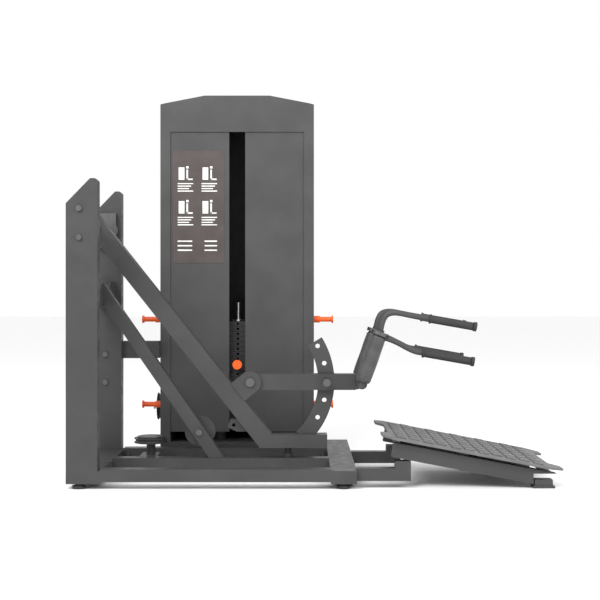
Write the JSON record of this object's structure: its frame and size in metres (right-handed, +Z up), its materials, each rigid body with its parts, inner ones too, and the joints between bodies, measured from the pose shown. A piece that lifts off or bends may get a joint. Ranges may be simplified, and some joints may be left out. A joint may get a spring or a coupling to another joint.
{
  "type": "hip thrust machine",
  "caption": "Standing hip thrust machine: swinging lever frame with padded hip rollers, enclosed weight stack tower and sloped tread platform.",
  "frame": {"origin": "centre of the footprint on the floor", "axes": "+X from the posts towards the platform, +Y from the working side to the weight tower, +Z up"},
  "size_m": [2.0564, 1.17, 1.742],
  "materials": {
    "frame_paint": "satin charcoal powder coat",
    "panel_paint": "satin charcoal powder coat",
    "rubber_black": "matt",
    "pad_vinyl": "soft upholstery vinyl over foam",
    "steel": "bright turned steel",
    "bolt_steel": "blackened",
    "orange_plastic": "moulded",
    "pulley_plastic": "moulded nylon",
    "plate_iron": "painted",
    "tread": "moulded tread",
    "placard_print": "printed sheet"
  },
  "bodies": {
    "base": {"front_rail": "frame_paint", "middle_rail": "frame_paint", "far_rail": "frame_paint", "left_foot_beam": "frame_paint", "right_foot_beam": "frame_paint", "near_post": "frame_paint", "far_post": "frame_paint", "post_cross_tube": "frame_paint", "pivot_bearings": "bolt_steel", "lower_brace": "frame_paint", "leveling_feet": "rubber_black", "swing_bumper": "rubber_black", "tower_base": "frame_paint", "side_cover_left": "panel_paint", "side_cover_right": "panel_paint", "front_panel_left": "panel_paint", "front_panel_right": "panel_paint", "rear_cover": "panel_paint", "top_hood": "panel_paint", "placard": "placard_print", "link_tube": "frame_paint", "band_pegs": "orange_plastic", "guide_rods": "steel", "stack_buffers": "rubber_black", "lower_plates": "plate_iron", "side_pulley_axle": "steel", "floor_pulley_stand": "frame_paint", "post_bolts": "bolt_steel", "rail_bolts": "bolt_steel", "platform_rails": "frame_paint", "platform_frame": "frame_paint", "platform_feet": "frame_paint", "platform_plate": "tread"},
    "swing": {"swing_beam": "frame_paint", "swing_foot": "frame_paint", "quadrant": "frame_paint", "pivot_shaft": "steel", "cable_clevis": "frame_paint", "lever_bracket": "frame_paint", "lever_bolt": "bolt_steel"},
    "lever": {"lever_arm": "frame_paint", "pad_posts": "frame_paint", "hip_pads": "pad_vinyl", "pad_collars": "bolt_steel", "upper_handles": "frame_paint", "lower_handles": "frame_paint", "hand_grips": "rubber_black", "grip_caps": "rubber_black"},
    "stack": {"upper_plates": "plate_iron", "selector_stem": "steel"},
    "selector": {"selector_pin": "steel", "selector_knob": "orange_plastic"},
    "lock": {"lock_pin": "bolt_steel"},
    "brace_wheel": {"brace_pulley": "pulley_plastic"},
    "side_wheel": {"side_pulley": "pulley_plastic"},
    "floor_wheel": {"floor_pulley": "pulley_plastic"}
  },
  "joints": [
    {"name": "swing_pivot", "type": "hinge", "parent": "base", "child": "swing", "pos_m": [-0.96, -0.225, 1.096], "axis": [0, -1, 0], "range_deg": [0, 25]},
    {"name": "lever_adjust", "type": "hinge", "parent": "swing", "child": "lever", "pos_m": [-0.284, -0.225, 0.416], "axis": [0, -1, 0], "range_deg": [-14, 28]},
    {"name": "stack_slide", "type": "slide", "parent": "base", "child": "stack", "axis": [0, 0, 1], "range_m": [0, 0.44]},
    {"name": "selector_pull", "type": "slide", "parent": "stack", "child": "selector", "axis": [0, -1, 0], "range_m": [0, 0.02]},
    {"name": "lock_pull", "type": "slide", "parent": "lever", "child": "lock", "axis": [0, -1, 0], "range_m": [0, 0.02]},
    {"name": "brace_wheel_spin", "type": "hinge", "parent": "base", "child": "brace_wheel", "pos_m": [-0.509, -0.188, 0.195], "axis": [0, 1, 0], "range_deg": [-1, 372.6]},
    {"name": "side_wheel_spin", "type": "hinge", "parent": "base", "child": "side_wheel", "pos_m": [-0.751, 0.34, 0.251], "axis": [1, 0, 0], "range_deg": [-1, 383.8]},
    {"name": "floor_wheel_spin", "type": "hinge", "parent": "base", "child": "floor_wheel", "pos_m": [-0.739, -0.105, 0.143], "axis": [0, 0, 1], "range_deg": [-1, 338.3]}
  ],
  "couplings": [
    {"joint": "stack_slide", "follows": "swing_pivot", "m_per_rad": 1},
    {"joint": "brace_wheel_spin", "follows": "swing_pivot", "ratio": 14.706},
    {"joint": "side_wheel_spin", "follows": "swing_pivot", "ratio": 15.152},
    {"joint": "floor_wheel_spin", "follows": "swing_pivot", "ratio": 13.333}
  ]
}
